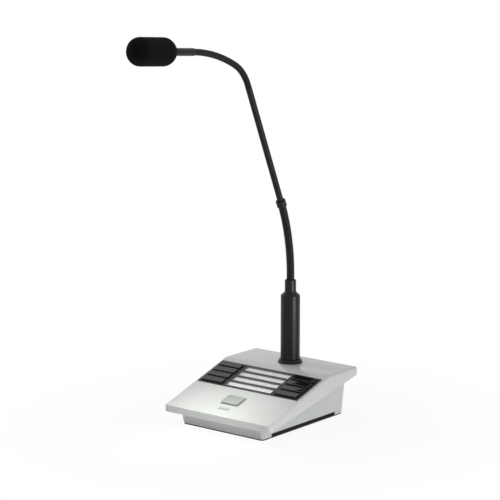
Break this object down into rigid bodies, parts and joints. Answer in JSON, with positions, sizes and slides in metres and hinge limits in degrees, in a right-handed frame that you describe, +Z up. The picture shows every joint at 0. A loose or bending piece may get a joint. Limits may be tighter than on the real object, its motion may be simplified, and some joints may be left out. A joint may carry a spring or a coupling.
{
  "type": "paging microphone",
  "caption": "Desk paging microphone: sloping wedge base with sprung zone keys and a talk key, and a gooseneck that carries a microphone in a foam windscreen.",
  "frame": {"origin": "on the table, on the mat's underside, below the middle of the top shell's plan", "axes": "+Z up, +Y towards the rear deck with the stem, +X to the right of the person who speaks into it"},
  "size_m": [0.14, 0.2706, 0.4087],
  "materials": {
    "shell_grey": "satin moulded plastic",
    "pedestal_grey": "satin moulded plastic",
    "key_black": "fine-textured moulded plastic",
    "bezel_black": "fine-textured moulded plastic",
    "frame_dark": "satin moulded plastic",
    "key_pale": "satin moulded plastic",
    "label_card": "matt card",
    "label_window": "clear, polished",
    "lamp_lens": "milky, polished",
    "lamp_led": "clear resin",
    "mat_rubber": "matt, ribbed",
    "plate_steel": "matt black paint",
    "screw_steel": "zinc plated",
    "nut_steel": "zinc plated",
    "board_green": "solder mask",
    "switch_black": "moulded",
    "socket_black": "moulded",
    "cable_grey": "matt",
    "cable_black": "matt",
    "stem_black": "semi-matt black",
    "neck_black": "semi-matt black",
    "capsule_metal": "anodised",
    "foam_black": "open-cell foam"
  },
  "bodies": {
    "base": {"anti_slip_mat": "mat_rubber", "bottom_plate": "plate_steel", "bottom_screws": "screw_steel", "lower_housing": "pedestal_grey", "top_shell": "shell_grey", "shell_screws": "screw_steel", "io_board": "board_green", "io_board_screws": "screw_steel", "network_socket": "socket_black", "ribbon_cable": "cable_grey", "main_board": "board_green", "board_screws": "screw_steel", "key_switches": "switch_black", "status_led": "lamp_led", "status_lens": "lamp_lens", "left_bezel": "bezel_black", "right_bezel": "bezel_black", "label_frame": "frame_dark", "label_cards": "label_card", "label_windows": "label_window", "stem_collar": "stem_black", "stem_barrel": "stem_black", "stem_washer": "nut_steel", "stem_nut": "nut_steel", "stem_cable": "cable_black", "preamp_board": "board_green", "stem_ferrule": "stem_black", "lower_flex_root": "neck_black", "root_cable": "cable_black"},
    "neck_lower": {"lower_flex_mid": "neck_black", "lower_cable": "cable_black"},
    "neck_middle": {"lower_flex_top": "neck_black", "neck_coupling": "stem_black", "neck_tube": "neck_black", "tube_cable": "cable_black"},
    "neck_upper": {"upper_flex_mid": "neck_black", "upper_cable": "cable_black"},
    "microphone": {"upper_flex_top": "neck_black", "head_cable": "cable_black", "microphone_rod": "stem_black", "capsule_housing": "capsule_metal", "microphone_capsule": "capsule_metal", "capsule_grille": "capsule_metal", "windscreen": "foam_black"},
    "zone_key_1": {"zone_key_1": "key_black"},
    "zone_key_2": {"zone_key_2": "key_black"},
    "zone_key_3": {"zone_key_3": "key_black"},
    "zone_key_4": {"zone_key_4": "key_black"},
    "zone_key_5": {"zone_key_5": "key_black"},
    "zone_key_6": {"zone_key_6": "key_black"},
    "zone_key_7": {"zone_key_7": "key_black"},
    "zone_key_8": {"zone_key_8": "key_black"},
    "talk_key": {"talk_key": "key_pale"}
  },
  "joints": [
    {"name": "neck_tilt", "type": "hinge", "parent": "base", "child": "neck_lower", "pos_m": [0, 0.0485, 0.146], "axis": [1, 0, 0], "range_deg": [-25, 25]},
    {"name": "neck_side_lean", "type": "hinge", "parent": "neck_lower", "child": "neck_middle", "pos_m": [0, 0.04441, 0.18571], "axis": [0, 0.979, 0.2036], "range_deg": [-25, 25]},
    {"name": "upper_bend", "type": "hinge", "parent": "neck_middle", "child": "neck_upper", "pos_m": [0, -0.0227, 0.35031], "axis": [1, 0, 0], "range_deg": [-25, 25]},
    {"name": "microphone_turn", "type": "hinge", "parent": "neck_upper", "child": "microphone", "pos_m": [0, -0.04376, 0.37231], "axis": [0, 0.4384, 0.8988], "range_deg": [-25, 25]},
    {"name": "zone_key_1_press", "type": "slide", "parent": "base", "child": "zone_key_1", "axis": [0, 0.304, -0.9527], "range_m": [0, 0.0012], "stiffness_N_per_m": 500, "springref_m": -0.001},
    {"name": "zone_key_2_press", "type": "slide", "parent": "base", "child": "zone_key_2", "axis": [0, 0.304, -0.9527], "range_m": [0, 0.0012], "stiffness_N_per_m": 500, "springref_m": -0.001},
    {"name": "zone_key_3_press", "type": "slide", "parent": "base", "child": "zone_key_3", "axis": [0, 0.304, -0.9527], "range_m": [0, 0.0012], "stiffness_N_per_m": 500, "springref_m": -0.001},
    {"name": "zone_key_4_press", "type": "slide", "parent": "base", "child": "zone_key_4", "axis": [0, 0.304, -0.9527], "range_m": [0, 0.0012], "stiffness_N_per_m": 500, "springref_m": -0.001},
    {"name": "zone_key_5_press", "type": "slide", "parent": "base", "child": "zone_key_5", "axis": [0, 0.304, -0.9527], "range_m": [0, 0.0012], "stiffness_N_per_m": 500, "springref_m": -0.001},
    {"name": "zone_key_6_press", "type": "slide", "parent": "base", "child": "zone_key_6", "axis": [0, 0.304, -0.9527], "range_m": [0, 0.0012], "stiffness_N_per_m": 500, "springref_m": -0.001},
    {"name": "zone_key_7_press", "type": "slide", "parent": "base", "child": "zone_key_7", "axis": [0, 0.304, -0.9527], "range_m": [0, 0.0012], "stiffness_N_per_m": 500, "springref_m": -0.001},
    {"name": "zone_key_8_press", "type": "slide", "parent": "base", "child": "zone_key_8", "axis": [0, 0.304, -0.9527], "range_m": [0, 0.0012], "stiffness_N_per_m": 500, "springref_m": -0.001},
    {"name": "talk_key_press", "type": "slide", "parent": "base", "child": "talk_key", "axis": [0, 0.304, -0.9527], "range_m": [0, 0.0015], "stiffness_N_per_m": 500, "springref_m": -0.001}
  ]
}
